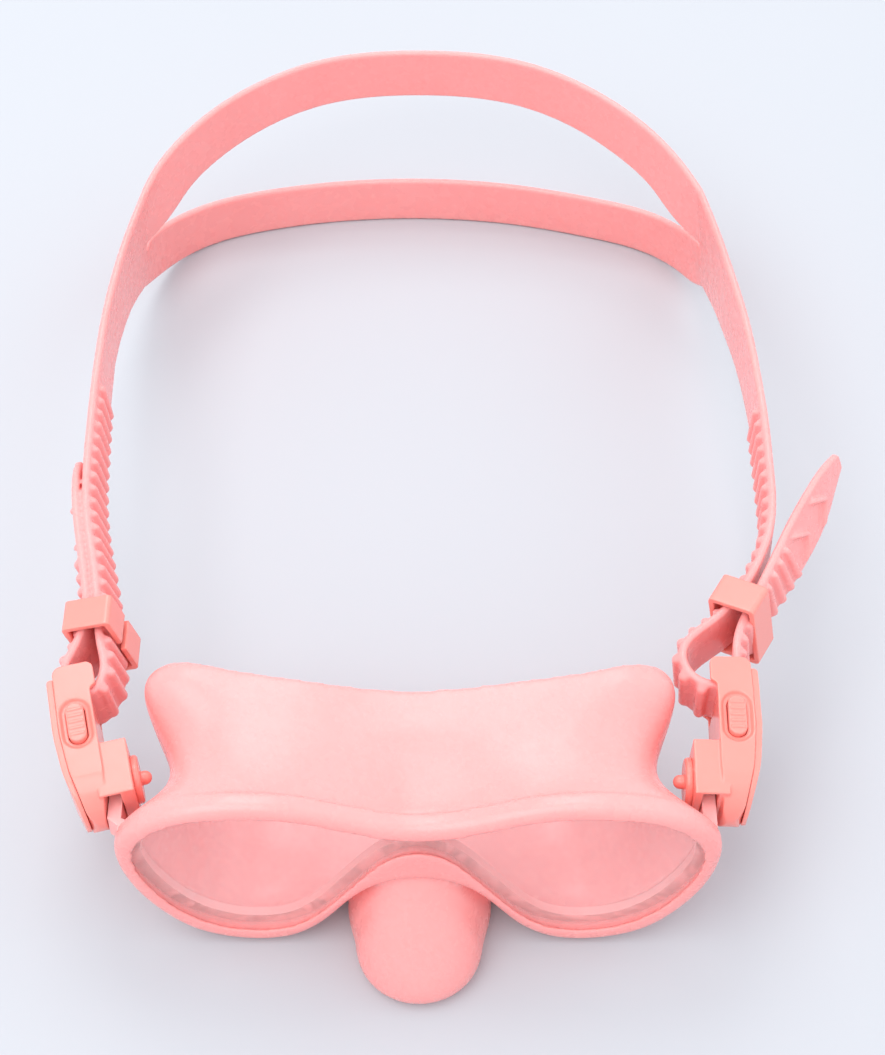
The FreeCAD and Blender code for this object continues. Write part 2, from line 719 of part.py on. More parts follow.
def roller_station(name, angle):
    """A point of the strap's middle line round the roller, angle from outwards to rear."""
    sign = SIDES[name]
    turn_radius = size("roller_radius") + 0.15 + size("strap_thick") / 2
    along = size("roller_back") + turn_radius * math.sin(math.radians(angle))
    out = size("roller_out") + turn_radius * math.cos(math.radians(angle))
    spot = side_placement(sign, BODY_YAW[name], along, out).Base
    return (spot.x, spot.y - size("mask_forward"), 0.0, LOW, HIGH)


RIGHT_TAIL = [
    (116.0, 118.6, 2.2, 40.4, 46.6), (111.4, 112.0, 4.6, 36.8, 49.8), (106.4, 104.2, 7.0, 35.2, 51.0),
    (101.4, 95.6, 8.0, 35.0, 51.2), (96.3, 85.6, 7.2, 35.0, 51.4), (92.3, 77.4, 5.6, 34.8, 51.5),
    (89.5, 71.8, 4.4, LOW, HIGH), (86.4, 66.0, 3.8, LOW, HIGH), (83.8, 60.6, 3.4, LOW, HIGH),
    (82.3, 55.6, 2.0, LOW, HIGH), (81.8, 51.0, 0.7, LOW, HIGH),
]
RIGHT_LOOP = [
    (74.2, 43.0, 0.6, LOW, HIGH), (70.4, 45.0, 1.2, LOW, HIGH), (68.2, 48.6, 2.0, LOW, HIGH),
    (67.9, 52.3, 2.6, LOW, HIGH), (69.6, 55.9, 3.0, LOW, HIGH), (74.0, 60.0, 3.4, LOW, HIGH),
    (78.6, 63.9, 3.6, LOW, HIGH), (82.7, 68.4, 3.6, LOW, HIGH), (87.0, 74.8, 3.2, LOW, HIGH),
    (91.6, 83.6, 2.0, LOW, HIGH), (94.0, 90.0, 1.4, LOW, HIGH), (95.8, 99.0, 0.7, LOW, HIGH),
    (96.4, 112.0, 0.3, 34.0, HIGH),
]
LEFT_TAIL = [
    (-95.8, 116.0, 1.6, 40.4, 46.6), (-95.4, 110.4, 2.0, 36.4, 49.6), (-94.6, 103.0, 2.3, 34.8, 51.2),
    (-93.5, 96.0, 2.6, LOW, HIGH), (-91.9, 88.0, 3.0, LOW, HIGH), (-90.2, 80.0, 3.3, LOW, HIGH),
    (-88.6, 72.1, 3.5, LOW, HIGH), (-87.8, 66.0, 3.6, LOW, HIGH), (-88.4, 58.0, 3.4, LOW, HIGH),
    (-90.0, 52.0, 2.2, LOW, HIGH), (-91.0, 47.6, 0.8, LOW, HIGH),
]
LEFT_LOOP = [
    (-83.9, 40.5, 0.5, LOW, HIGH), (-82.2, 42.6, 1.0, LOW, HIGH), (-81.3, 45.4, 1.6, LOW, HIGH),
    (-81.4, 49.6, 2.6, LOW, HIGH), (-82.8, 54.8, 3.4, LOW, HIGH), (-83.9, 60.0, 3.6, LOW, HIGH),
    (-84.9, 66.0, 3.6, LOW, HIGH), (-85.8, 72.0, 3.5, LOW, HIGH), (-87.4, 80.0, 3.3, LOW, HIGH),
    (-89.2, 88.0, 3.0, LOW, HIGH), (-90.8, 96.0, 2.6, LOW, HIGH), (-92.0, 106.0, 2.1, 34.2, HIGH),
    (-92.7, 120.0, 1.5, 33.6, 51.5),
]
# The sides run back to the split and grow wider; their lower edge comes to stand outside.
RIGHT_SIDE = [
    (96.6, 128.0, 0.2, 33.0, 51.4), (96.0, 146.0, 0.4, 31.0, 51.2), (94.4, 166.0, 1.2, 26.6, 51.2),
    (91.4, 184.0, 2.6, 21.6, 52.0), (88.2, 199.0, 4.6, 15.8, 53.4),
]
LEFT_SIDE = [
    (-93.2, 142.0, 0.6, 31.4, 51.2), (-92.8, 164.0, -1.0, 28.4, 51.2),
    (-90.8, 184.0, -2.6, 23.6, 52.0), (-88.0, 199.0, -4.6, 17.4, 53.4),
]
SPLIT_TOP = 84.6
SPLIT_FOOT = 91.0
SPLIT_Y = 212.0
SPLIT_LOW = 11.0
SPLIT_HIGH = 55.2
SLIT_LOW = 28.6
SLIT_HIGH = 31.4
# The rear bands from the right split to the left one: (x, y, low, high)
UPPER_BAND = [(80.4, 220.4, 33.4, 56.4), (73.4, 231.4, 36.2, 57.6), (63.0, 243.0, 38.6, 58.8),
              (48.6, 254.6, 40.4, 59.6), (31.6, 263.0, 41.6, 60.2), (-1.2, 267.8, 42.0, 60.4),
              (-34.0, 263.2, 41.6, 60.2), (-51.2, 254.6, 40.4, 59.6), (-65.4, 243.0, 38.6, 58.8),
              (-75.2, 231.4, 36.2, 57.6), (-81.6, 220.4, 33.4, 56.4)]
LOWER_BAND = [(88.6, 219.0, 5.4, 24.4), (84.6, 227.8, 1.6, 20.8), (74.8, 236.8, 0.3, 18.9),
              (57.4, 243.6, 0.1, 18.4), (33.0, 249.6, 0.05, 18.2), (0, 252.9, 0.05, 18.2),
              (-32.0, 251.2, 0.05, 18.2), (-56.0, 246.6, 0.1, 18.4), (-72.4, 240.4, 0.3, 18.9),
              (-82.6, 231.8, 1.6, 20.8), (-87.8, 222.0, 5.4, 24.4)]


def split_station(sign, part):
    """The strap's end at the split: the whole width, or the root of one rear band."""
    edges = {
        "whole": (SPLIT_LOW, SPLIT_HIGH),
        "upper": (SLIT_HIGH, SPLIT_HIGH),
        "lower": (SPLIT_LOW, SLIT_LOW),
    }
    low, high = edges[part]
    slope = (SPLIT_FOOT - SPLIT_TOP) / (SPLIT_HIGH - SPLIT_LOW)
    top = SPLIT_TOP + slope * (SPLIT_HIGH - high)
    return (sign * top, SPLIT_Y, sign * slope * (high - low), low, high)


def edge_curve(points, params):
    """A smooth curve through one edge of the strap."""
    curve = Part.BSplineCurve()
    curve.interpolate(Points=points, Parameters=params)
    return curve


def band(stations, thick):
    """A closed solid: the band's cross-section carried along its two edges."""
    lows = [Vector(x + lean, y, low) for x, y, lean, low, high in stations]
    highs = [Vector(x, y, high) for x, y, lean, low, high in stations]
    middles = [(a + b) / 2 for a, b in zip(lows, highs)]
    params = [0.0]
    for a, b in zip(middles, middles[1:]):
        params.append(params[-1] + (b - a).Length)
    low_edge = edge_curve(lows, params)
    high_edge = edge_curve(highs, params)
    middle = edge_curve(middles, params)
    wires = []
    for spot in middle.discretize(Deflection=0.06):
        where = middle.parameter(spot)
        along = middle.tangent(where)[0]
        bottom = low_edge.value(where)
        top = high_edge.value(where)
        across = along.cross(top - bottom).normalize() * (thick / 2)
        corners = [bottom - across, bottom + across, top + across, top - across]
        wires.append(Part.makePolygon(corners + corners[:1]))
    return Part.makeLoft(wires, True, True)


def end_run(name):
    """Tail, turn round the roller, loop and side strap of one end."""
    tail = RIGHT_TAIL if name == "right" else LEFT_TAIL
    loop = RIGHT_LOOP if name == "right" else LEFT_LOOP
    run = RIGHT_SIDE if name == "right" else LEFT_SIDE
    turn = [roller_station(name, angle) for angle in (15, -15, -45, -75, -105)]
    side_run = loop[-1:] + run + [split_station(SIDES[name], "whole")]
    return tail + turn + loop, side_run


def rear_band(stations, part):
    """One rear band from split to split."""
    across = [(x, y, 0.0, low, high) for x, y, low, high in stations]
    return [split_station(1, part)] + across + [split_station(-1, part)]


def make_strap():
    thick = size("strap_thick")
    pieces = []
    for name in SIDES:
        buckle_run, side_run = end_run(name)
        pieces.append(band(buckle_run, thick))
        pieces.append(band(side_run, thick))
    pieces.append(band(rear_band(UPPER_BAND, "upper"), thick))
    pieces.append(band(rear_band(LOWER_BAND, "lower"), thick))
    for piece in pieces:
        print("strap piece", piece.isValid(), round(piece.Volume))
    whole = pieces[0].fuse(pieces[1:])
    return whole


as_feature("strap", make_strap(), Placement(Vector(0, size("mask_forward"), 0), Rotation()))


# ---------------------------------------------------------------- keepers
# middle of each keeper, its turn about Z and how far its lower end is turned forward
KEEPER_SPOT = {"right": (85.5, 66.7, -31.0, 1.5), "left": (-84.05, 61.8, 2.0, 4.0)}


def make_keeper(name):
    """Rectangular loop round both passes of the strap, open by a slit in its inner wall."""
    body = new_body(name + "Keeper")
    wide = size("keeper_inner_width") / 2
    tall = size("keeper_inner_height") / 2
    wall = size("keeper_wall")
    outside = rounded_polygon([
        (-wide - wall, -tall - wall, 1.4), (wide + wall, -tall - wall, 1.4),
        (wide + wall, tall + wall, 1.4), (-wide - wall, tall + wall, 1.4),
    ])
    pad(body, sketch_on(body, "KeeperOutside" + name, outside, "XZ_Plane"), "Sizes.keeper_length")
    hole = rounded_polygon([(-wide, -tall, 0.4), (wide, -tall, 0.4), (wide, tall, 0.4), (-wide, tall, 0.4)])
    pocket(body, sketch_on(body, "KeeperHole" + name, hole, "XZ_Plane"), "Sizes.keeper_length + 2")
    inner = -SIDES[name]
    half = size("keeper_slit") / 2
    near, far = sorted([inner * (wide - 1), inner * (wide + wall + 1)])
    slit = polygon([(near, -half), (far, -half), (far, half), (near, half)])
    pocket(body, sketch_on(body, "KeeperSlit" + name, slit, "XZ_Plane"), "Sizes.keeper_length + 2")
    x, y, yaw, pitch = KEEPER_SPOT[name]
    turn = Rotation(Z_AXIS, yaw).multiply(Rotation(Y_AXIS, -size("keeper_lean")))
    turn = turn.multiply(Rotation(X_AXIS, -pitch))
    body.Placement = Placement(Vector(x, y + size("mask_forward"), PIN_HEIGHT), turn)
    doc.recompute()
    keep(body, "keeper_" + name)


for side in SIDES:
    make_keeper(side)

# ---------------------------------------------------------------- check and write
doc.recompute()
for obj in doc.Objects:
    if "Invalid" in obj.State or "Error" in obj.State:
        raise RuntimeError("%s is %s" % (obj.Name, obj.State))
os.makedirs("parts", exist_ok=True)
for obj in parts:
    shape = obj.Shape
    if shape.isNull() or not shape.isValid():
        raise RuntimeError("%s has no valid shape" % obj.Label)
    shape.exportStep("parts/%s.step" % obj.Label)
    box = shape.BoundBox
    spans = (box.XMin, box.XMax, box.YMin, box.YMax, box.ZMin, box.ZMax)
    print("%-22s solids %d volume %9.1f" % (obj.Label, len(shape.Solids), shape.Volume),
          "x %.1f..%.1f  y %.1f..%.1f  z %.1f..%.1f" % spans)
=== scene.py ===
"""Looks of the child's swim mask: soft silicone, moulded plastic and glass on the CAD frame."""
import bpy
import json
import math
import numpy as np
from mathutils import Matrix


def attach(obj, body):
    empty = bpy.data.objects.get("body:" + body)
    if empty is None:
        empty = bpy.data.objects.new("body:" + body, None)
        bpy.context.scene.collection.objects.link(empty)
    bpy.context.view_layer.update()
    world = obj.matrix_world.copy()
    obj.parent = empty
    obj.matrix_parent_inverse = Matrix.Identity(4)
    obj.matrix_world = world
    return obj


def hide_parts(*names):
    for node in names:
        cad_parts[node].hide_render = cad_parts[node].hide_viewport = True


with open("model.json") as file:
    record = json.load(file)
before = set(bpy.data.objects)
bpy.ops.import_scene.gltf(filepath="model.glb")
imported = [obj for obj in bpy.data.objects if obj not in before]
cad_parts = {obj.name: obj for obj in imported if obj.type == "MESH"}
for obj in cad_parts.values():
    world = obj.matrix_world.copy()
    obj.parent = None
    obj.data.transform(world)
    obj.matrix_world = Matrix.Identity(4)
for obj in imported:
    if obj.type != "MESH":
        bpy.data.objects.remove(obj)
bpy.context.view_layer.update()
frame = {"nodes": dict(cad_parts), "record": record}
nodes = frame["nodes"]
body_of_node = {n: b for b, ns in frame["record"]["behaviour"]["bodies"].items() for n in ns}
MM = 0.001


# ---------------------------------------------------------------- materials
class Graph:
    """A node tree with the Principled shader and short ways to add textures."""

    def __init__(self, name):
        self.material = bpy.data.materials.new(name)
        self.material.use_nodes = True
        self.tree = self.material.node_tree
        self.shader = self.tree.nodes["Principled BSDF"]
        self.coords = self.add("ShaderNodeTexCoord").outputs["Object"]

    def add(self, kind, **settings):
        node = self.tree.nodes.new(kind)
        for key, value in settings.items():
            setattr(node, key, value)
        return node

    def link(self, output, target):
        self.tree.links.new(output, target)

    def noise(self, scale, detail=3.0, roughness=0.5):
        node = self.add("ShaderNodeTexNoise")
        node.inputs["Scale"].default_value = scale
        node.inputs["Detail"].default_value = detail
        node.inputs["Roughness"].default_value = roughness
        self.link(self.coords, node.inputs["Vector"])
        return node.outputs["Fac"]

    def span(self, output, low, high, start=0.3, finish=0.7):
        """The output's range start..finish mapped to low..high."""
        node = self.add("ShaderNodeMapRange")
        self.link(output, node.inputs["Value"])
        node.inputs["From Min"].default_value = start
        node.inputs["From Max"].default_value = finish
        node.inputs["To Min"].default_value = low
        node.inputs["To Max"].default_value = high
        return node.outputs["Result"]

    def colours(self, output, low, high):
        ramp = self.add("ShaderNodeValToRGB")
        self.link(output, ramp.inputs["Fac"])
        ramp.color_ramp.elements[0].position = 0.3
        ramp.color_ramp.elements[0].color = (*low, 1)
        ramp.color_ramp.elements[1].position = 0.7
        ramp.color_ramp.elements[1].color = (*high, 1)
        return ramp.outputs["Color"]

    def bump(self, layers):
        """Bump layers of (height output, distance in metres, strength), one on another."""
        normal = None
        for height, distance, strength in layers:
            node = self.add("ShaderNodeBump")
            node.inputs["Distance"].default_value = distance
            node.inputs["Strength"].default_value = strength
            self.link(height, node.inputs["Height"])
            if normal is not None:
                self.link(normal, node.inputs["Normal"])
            normal = node.outputs["Normal"]
        self.link(normal, self.shader.inputs["Normal"])

    def put(self, **values):
        """Set the shader's own sockets; an underscore stands for a space."""
        for key, value in values.items():
            self.shader.inputs[key.replace("_", " ")].default_value = value


def soft_material(name, low, high, rough, grain, subsurface, radius, coat=0.0):
    """Translucent moulded material: cloudy colour, satin patches and a fine grain."""
    g = Graph(name)
    g.link(g.colours(g.noise(38, 4, 0.55), low, high), g.shader.inputs["Base Color"])
    g.link(g.span(g.noise(210, 3), rough[0], rough[1]), g.shader.inputs["Roughness"])
    g.bump([(g.noise(70, 2), 0.00003, 0.2), (g.noise(grain, 2, 0.6), 0.00001, 0.3)])
    g.put(Subsurface_Weight=subsurface, Subsurface_Radius=radius, Subsurface_Scale=0.004, IOR=1.43,
          Coat_Weight=coat, Coat_Roughness=0.25)
    return g.material


SILICONE = soft_material(
    "silicone_pink", low=(0.955, 0.345, 0.33), high=(0.965, 0.365, 0.35), rough=(0.22, 0.32),
    grain=2600, subsurface=0.30, radius=(1.0, 0.35, 0.30))
PLASTIC = soft_material(
    "buckle_coral", low=(0.93, 0.27, 0.225), high=(0.94, 0.285, 0.24), rough=(0.18, 0.27),
    grain=3400, subsurface=0.18, radius=(1.0, 0.35, 0.28), coat=0.25)
FRAME = soft_material(
    "frame_rose", low=(0.95, 0.43, 0.41), high=(0.96, 0.47, 0.45), rough=(0.28, 0.38),
    grain=3000, subsurface=0.2, radius=(1.0, 0.3, 0.25))


def glass_material():
    """Clear glass with a thin pale painted reflection, a near-white diffuse colour at low alpha, so that
    the inside of the mask stays bright behind it.
    """
    g = Graph("lens_glass")
    # Painted reflection: a pale near-white colour, seen through the low alpha, stands in for the glass's
    # reflection of the lights.
    painted_reflection = g.colours(g.noise(14, 2), (0.98, 0.86, 0.86), (1.0, 0.91, 0.91))
    g.link(painted_reflection, g.shader.inputs["Base Color"])
    g.link(g.span(g.noise(480, 3), 0.02, 0.06), g.shader.inputs["Roughness"])
    g.put(Alpha=0.12, IOR=1.5)
    return g.material


def steel_material():
    g = Graph("spring_steel")
    grey = g.colours(g.noise(900, 3), (0.46, 0.46, 0.48), (0.62, 0.62, 0.64))
    g.link(grey, g.shader.inputs["Base Color"])
    g.link(g.span(g.noise(2400, 2), 0.18, 0.36), g.shader.inputs["Roughness"])
    g.put(Metallic=1.0)
    return g.material


GLASS = glass_material()
STEEL = steel_material()
MATERIALS = {
    "silicone": SILICONE,
    "buckle_plastic": PLASTIC,
    "frame_plastic": FRAME,
    "glass": GLASS,
    "steel": STEEL,
}
slot_of = {s["node"]: s["material_slot"] for s in frame["record"]["subparts"]}
for node_name, obj in nodes.items():
    obj.data.materials.clear()
    obj.data.materials.append(MATERIALS[slot_of[node_name]])


# ---------------------------------------------------------------- mesh helpers
def make_object(name, verts, faces):
    mesh = bpy.data.meshes.new(name)
    mesh.from_pydata([tuple(v) for v in verts], [], faces)
    obj = bpy.data.objects.new(name, mesh)
    bpy.context.scene.collection.objects.link(obj)
    return obj


def modified(obj, steps):
    """Run modifiers (kind, settings) on the object and keep the result as its mesh."""
    for kind, settings in steps:
        modifier = obj.modifiers.new(kind.lower(), kind)
        for key, value in settings.items():
            setattr(modifier, key, value)
    evaluated = obj.evaluated_get(bpy.context.evaluated_depsgraph_get())
    mesh = bpy.data.meshes.new_from_object(evaluated)
    obj.modifiers.clear()
    obj.data = mesh
    return obj


def remesh_steps(voxel, rounds):
    """Rebuild at an even grain, in mm, then smooth; sharp edges come out rounded."""
    return [("REMESH", {"mode": "VOXEL", "voxel_size": voxel * MM, "use_smooth_shade": True}),
            ("SMOOTH", {"factor": 0.5, "iterations": rounds})]


def dress(obj, node_name):
    """The piece stands for that CAD node: it takes the node's body and its slot's material."""
    slot = slot_of[node_name]
    obj.data.materials.clear()
    obj.data.materials.append(MATERIALS[slot])
    obj.data.shade_smooth()
    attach(obj, body_of_node[node_name])
    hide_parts(node_name)
    return obj


def get_points(obj):
    flat = np.empty(len(obj.data.vertices) * 3)
    obj.data.vertices.foreach_get("co", flat)
    return flat.reshape(-1, 3)


def set_points(obj, points):
    obj.data.vertices.foreach_set("co", points.reshape(-1))
    obj.data.update()


def softened(node_name, voxel, rounds):
    """A copy of the CAD node with its edges rounded as moulded ones are."""
    obj = bpy.data.objects.new("soft_" + node_name, nodes[node_name].data.copy())
    bpy.context.scene.collection.objects.link(obj)
    return modified(obj, remesh_steps(voxel, rounds))


def cubic(points, params, at, closed=False):
    """A cubic spline through the points, at the given parameters (natural or periodic ends)."""
    points = np.asarray(points, float)
    params = np.asarray(params, float)
    count = len(points) - 1
    gaps = np.diff(params)
    slopes = np.diff(points, axis=0) / gaps[:, None]
    matrix = np.zeros((count + 1, count + 1))
    right = np.zeros((count + 1, points.shape[1]))
    for i in range(1, count):
        matrix[i, i - 1:i + 2] = gaps[i - 1], 2 * (gaps[i - 1] + gaps[i]), gaps[i]
        right[i] = 6 * (slopes[i] - slopes[i - 1])
    if closed:
        matrix[0, 0], matrix[0, 1] = 2 * (gaps[-1] + gaps[0]), gaps[0]
        matrix[0, count - 1] = gaps[-1]
        right[0] = 6 * (slopes[0] - slopes[-1])
        matrix[count, 0], matrix[count, count] = 1, -1
    else:
        matrix[0, 0] = matrix[count, count] = 1
    second = np.linalg.solve(matrix, right)
    k = np.clip(np.searchsorted(params, at, side="right") - 1, 0, count - 1)
    h = gaps[k][:, None]
    a = (params[k + 1] - at)[:, None] / h
    b = 1 - a
    return (a * points[k] + b * points[k + 1]
            + ((a ** 3 - a) * second[k] + (b ** 3 - b) * second[k + 1]) * h ** 2 / 6)


def chords(points):
    """Length along the points, from the first one."""
    return np.concatenate([[0], np.cumsum(np.linalg.norm(np.diff(points, axis=0), axis=1))])


# ---------------------------------------------------------------- skirt
# The lens plane leans back by 8 degrees; x and z lie in it and y runs behind it (mm).
TILT = math.radians(8)
LENS_ORIGIN = np.array([0, 12.0, 43.0])
RIM_HALF = [
    (0, 9.5), (15, 12.5), (30, 17.5), (45, 18.8), (60, 15.5), (70, 9), (74.6, 2), (75, -6),
    (72.8, -16), (67, -28), (58, -38), (50, -41.6), (42.5, -42.8), (33, -41.0), (24.5, -34),
    (18, -24.5), (12, -17.5), (6, -13.8), (0, -12.8),
]


OUTLINE_POINTS = 900
BLOCK_POINTS = 4000


def to_lens(points):
    """From the frame's metres to the lens plane's millimetres."""
    p = points / MM - LENS_ORIGIN
    c, s = math.cos(TILT), math.sin(TILT)
    return np.stack([p[:, 0], p[:, 1] * c - p[:, 2] * s, p[:, 1] * s + p[:, 2] * c], 1)


def from_lens(p):
    """Back from the lens plane's millimetres to the frame's metres."""
    c, s = math.cos(TILT), math.sin(TILT)
    turned = np.stack([p[:, 0], p[:, 1] * c + p[:, 2] * s, -p[:, 1] * s + p[:, 2] * c], 1)
    return (turned + LENS_ORIGIN) * MM


def closed_outline(half, count):
    """Dense points and inward normals of a mirrored half outline."""
    loop = np.array(list(half) + [(-x, z) for x, z in reversed(half[1:-1])] + [half[0]], float)
    params = chords(loop)
    at = np.linspace(0, params[-1], count, endpoint=False)
    points = cubic(loop, params, at, closed=True)
    along = np.roll(points, -1, axis=0) - np.roll(points, 1, axis=0)
    along /= np.linalg.norm(along, axis=1)[:, None]
    return points, np.stack([along[:, 1], -along[:, 0]], 1)


def rounded_rim(p, radius):
    """Front outer corner of the rim rolled to a radius."""
    outline, inward = closed_outline(RIM_HALF, OUTLINE_POINTS)
    front = -1.0
    near = np.where(p[:, 1] < front + radius + 0.5)[0]
    for block in np.array_split(near, max(1, len(near) // BLOCK_POINTS)):
        xz = p[block][:, [0, 2]]
        gap = xz[:, None, :] - outline[None]
        nearest = np.argmin((gap ** 2).sum(2), axis=1)
        offset = gap[np.arange(len(block)), nearest]
        depth = (offset * inward[nearest]).sum(1)
        dy = p[block, 1] - (front + radius)
        dd = depth - radius
        length = np.hypot(dd, dy)
        corner = (depth > -0.6) & (dd < 0) & (dy < 0) & (length > radius)
        scale = np.where(corner, radius / np.maximum(length, 1e-9), 1.0)
        move = (dd * scale - dd)[:, None] * inward[nearest]
        p[block, 0] += move[:, 0]
        p[block, 2] += move[:, 1]
        p[block, 1] += dy * scale - dy
    return p


def smooth_step(values, start, finish):
    """0 up to start, 1 from finish on, and a smooth rise between."""
    t = np.clip((values - start) / (finish - start), 0, 1)
    return t * t * (3 - 2 * t)


def squared_nose(p):
    """The nose pocket's round front drawn out to a flat face between two soft corners."""
    widest = 9.0
    half_width = 18.0
    reach = 25.0
    power = 3.0
    x = p[:, 0] / half_width
    y = (p[:, 1] - widest) / reach
    turn = np.arctan2(np.abs(x), -y)
    fuller = (np.abs(np.cos(turn)) ** power + np.abs(np.sin(turn)) ** power) ** (-1 / power)
    share = smooth_step(-p[:, 2], 17, 25) * smooth_step(-p[:, 1], 1, 6) * (np.abs(p[:, 0]) < 22)
    grow = 1 + (fuller - 1) * share
    p[:, 0] *= grow * (1 - 0.07 * share)
    p[:, 1] = widest + (p[:, 1] - widest) * (1 + (grow - 1) * 0.6)
    return p


RIM_RADIUS = 3.4
skirt = softened("skirt", 0.55, 6)
set_points(skirt, from_lens(squared_nose(rounded_rim(to_lens(get_points(skirt)), RIM_RADIUS))))
modified(skirt, [("SMOOTH", {"factor": 0.5, "iterations": 9})])
dress(skirt, "skirt")

# ---------------------------------------------------------------- strap
# Stations: x and y of the upper edge, how far the lower edge stands to +X, low and high edge (mm).
THICK = 2.2
LOW, HIGH = 34.4, 51.6
FORWARD = 12.0
EDGE_ROUND = 0.9
ROLLER_OUT = 5.8
ROLLER_BACK = 27.0
TURN_RADIUS = 3.25
PIN = {"left": (-74.6, 30.8), "right": (71.6, 30.8)}
YAW = {"left": 14.0, "right": 2.0}
TAIL = {
    "right": [
        (116.0, 118.6, 2.2, 40.4, 46.6), (111.4, 112.0, 4.6, 36.8, 49.8), (106.4, 104.2, 7.0, 35.2, 51.0),
        (101.4, 95.6, 8.0, 35.0, 51.2), (96.3, 85.6, 7.2, 35.0, 51.4), (92.3, 77.4, 5.6, 34.8, 51.5),
        (89.5, 71.8, 4.4, LOW, HIGH), (86.4, 66.0, 3.8, LOW, HIGH), (83.8, 60.6, 3.4, LOW, HIGH),
        (82.3, 55.6, 2.0, LOW, HIGH), (81.8, 51.0, 0.7, LOW, HIGH),
    ],
    "left": [
        (-95.8, 116.0, 1.6, 40.4, 46.6), (-95.4, 110.4, 2.0, 36.4, 49.6), (-94.6, 103.0, 2.3, 34.8, 51.2),
        (-93.5, 96.0, 2.6, LOW, HIGH), (-91.9, 88.0, 3.0, LOW, HIGH), (-90.2, 80.0, 3.3, LOW, HIGH),
        (-88.6, 72.1, 3.5, LOW, HIGH), (-87.8, 66.0, 3.6, LOW, HIGH), (-88.4, 58.0, 3.4, LOW, HIGH),
        (-90.0, 52.0, 2.2, LOW, HIGH), (-91.0, 47.6, 0.8, LOW, HIGH),
    ],
}
LOOP = {
    "right": [
        (74.2, 43.0, 0.6, LOW, HIGH), (70.4, 45.0, 1.2, LOW, HIGH), (68.2, 48.6, 2.0, LOW, HIGH),
        (67.9, 52.3, 2.6, LOW, HIGH), (69.6, 55.9, 3.0, LOW, HIGH), (74.0, 60.0, 3.4, LOW, HIGH),
        (78.6, 63.9, 3.6, LOW, HIGH), (82.7, 68.4, 3.6, LOW, HIGH), (87.0, 74.8, 3.2, LOW, HIGH),
        (91.6, 83.6, 2.0, LOW, HIGH), (94.0, 90.0, 1.4, LOW, HIGH), (95.8, 99.0, 0.7, LOW, HIGH),
        (96.4, 112.0, 0.3, 34.0, HIGH),
    ],
    "left": [
        (-83.9, 40.5, 0.5, LOW, HIGH), (-82.2, 42.6, 1.0, LOW, HIGH), (-81.3, 45.4, 1.6, LOW, HIGH),
        (-81.4, 49.6, 2.6, LOW, HIGH), (-82.8, 54.8, 3.4, LOW, HIGH), (-83.9, 60.0, 3.6, LOW, HIGH),
        (-84.9, 66.0, 3.6, LOW, HIGH), (-85.8, 72.0, 3.5, LOW, HIGH), (-87.4, 80.0, 3.3, LOW, HIGH),
        (-89.2, 88.0, 3.0, LOW, HIGH), (-90.8, 96.0, 2.6, LOW, HIGH), (-92.0, 106.0, 2.1, 34.2, HIGH),
        (-92.7, 120.0, 1.5, 33.6, 51.5),
    ],
}
SIDE = {
    "right": [
        (96.6, 128.0, 0.2, 33.0, 51.4), (96.0, 146.0, 0.4, 31.0, 51.2), (94.4, 166.0, 1.2, 26.6, 51.2),
        (91.4, 184.0, 2.6, 21.6, 52.0), (88.2, 199.0, 4.6, 15.8, 53.4), (84.6, 212.0, 6.4, 11.0, 55.2),
    ],
    "left": [
        (-93.2, 142.0, 0.6, 31.4, 51.2), (-92.8, 164.0, -1.0, 28.4, 51.2),
        (-90.8, 184.0, -2.6, 23.6, 52.0), (-88.0, 199.0, -4.6, 17.4, 53.4),
        (-84.6, 212.0, -6.4, 11.0, 55.2),
    ],
}
# The rear bands: x, y, low and high edge.
UPPER = [
    (80.4, 220.4, 33.4, 56.4), (73.4, 231.4, 36.2, 57.6), (63.0, 243.0, 38.6, 58.8),
    (48.6, 254.6, 40.4, 59.6), (31.6, 263.0, 41.6, 60.2), (-1.2, 267.8, 42.0, 60.4),
    (-34.0, 263.2, 41.6, 60.2), (-51.2, 254.6, 40.4, 59.6), (-65.4, 243.0, 38.6, 58.8),
    (-75.2, 231.4, 36.2, 57.6), (-81.6, 220.4, 33.4, 56.4),
]
LOWER = [
    (88.6, 219.0, 5.4, 24.4), (84.6, 227.8, 1.6, 20.8), (74.8, 236.8, 0.3, 18.9),
    (57.4, 243.6, 0.1, 18.4), (33.0, 249.6, 0.05, 18.2), (0, 252.9, 0.05, 18.2),
    (-32.0, 251.2, 0.05, 18.2), (-56.0, 246.6, 0.1, 18.4), (-72.4, 240.4, 0.3, 18.9),
    (-82.6, 231.8, 1.6, 20.8), (-87.8, 222.0, 5.4, 24.4),
]


def roller_turn(side):
    """The strap's middle line round the roller."""
    sign = 1 if side == "right" else -1
    turn = math.radians(-sign * YAW[side])
    stations = []
    for degrees in (15, -15, -45, -75, -105):
        angle = math.radians(degrees)
        out = sign * (ROLLER_OUT + TURN_RADIUS * math.cos(angle))
        along = ROLLER_BACK + TURN_RADIUS * math.sin(angle)
        x = PIN[side][0] + out * math.cos(turn) - along * math.sin(turn)
        y = PIN[side][1] + out * math.sin(turn) + along * math.cos(turn)
        stations.append((x, y - FORWARD, 0.0, LOW, HIGH))
    return stations


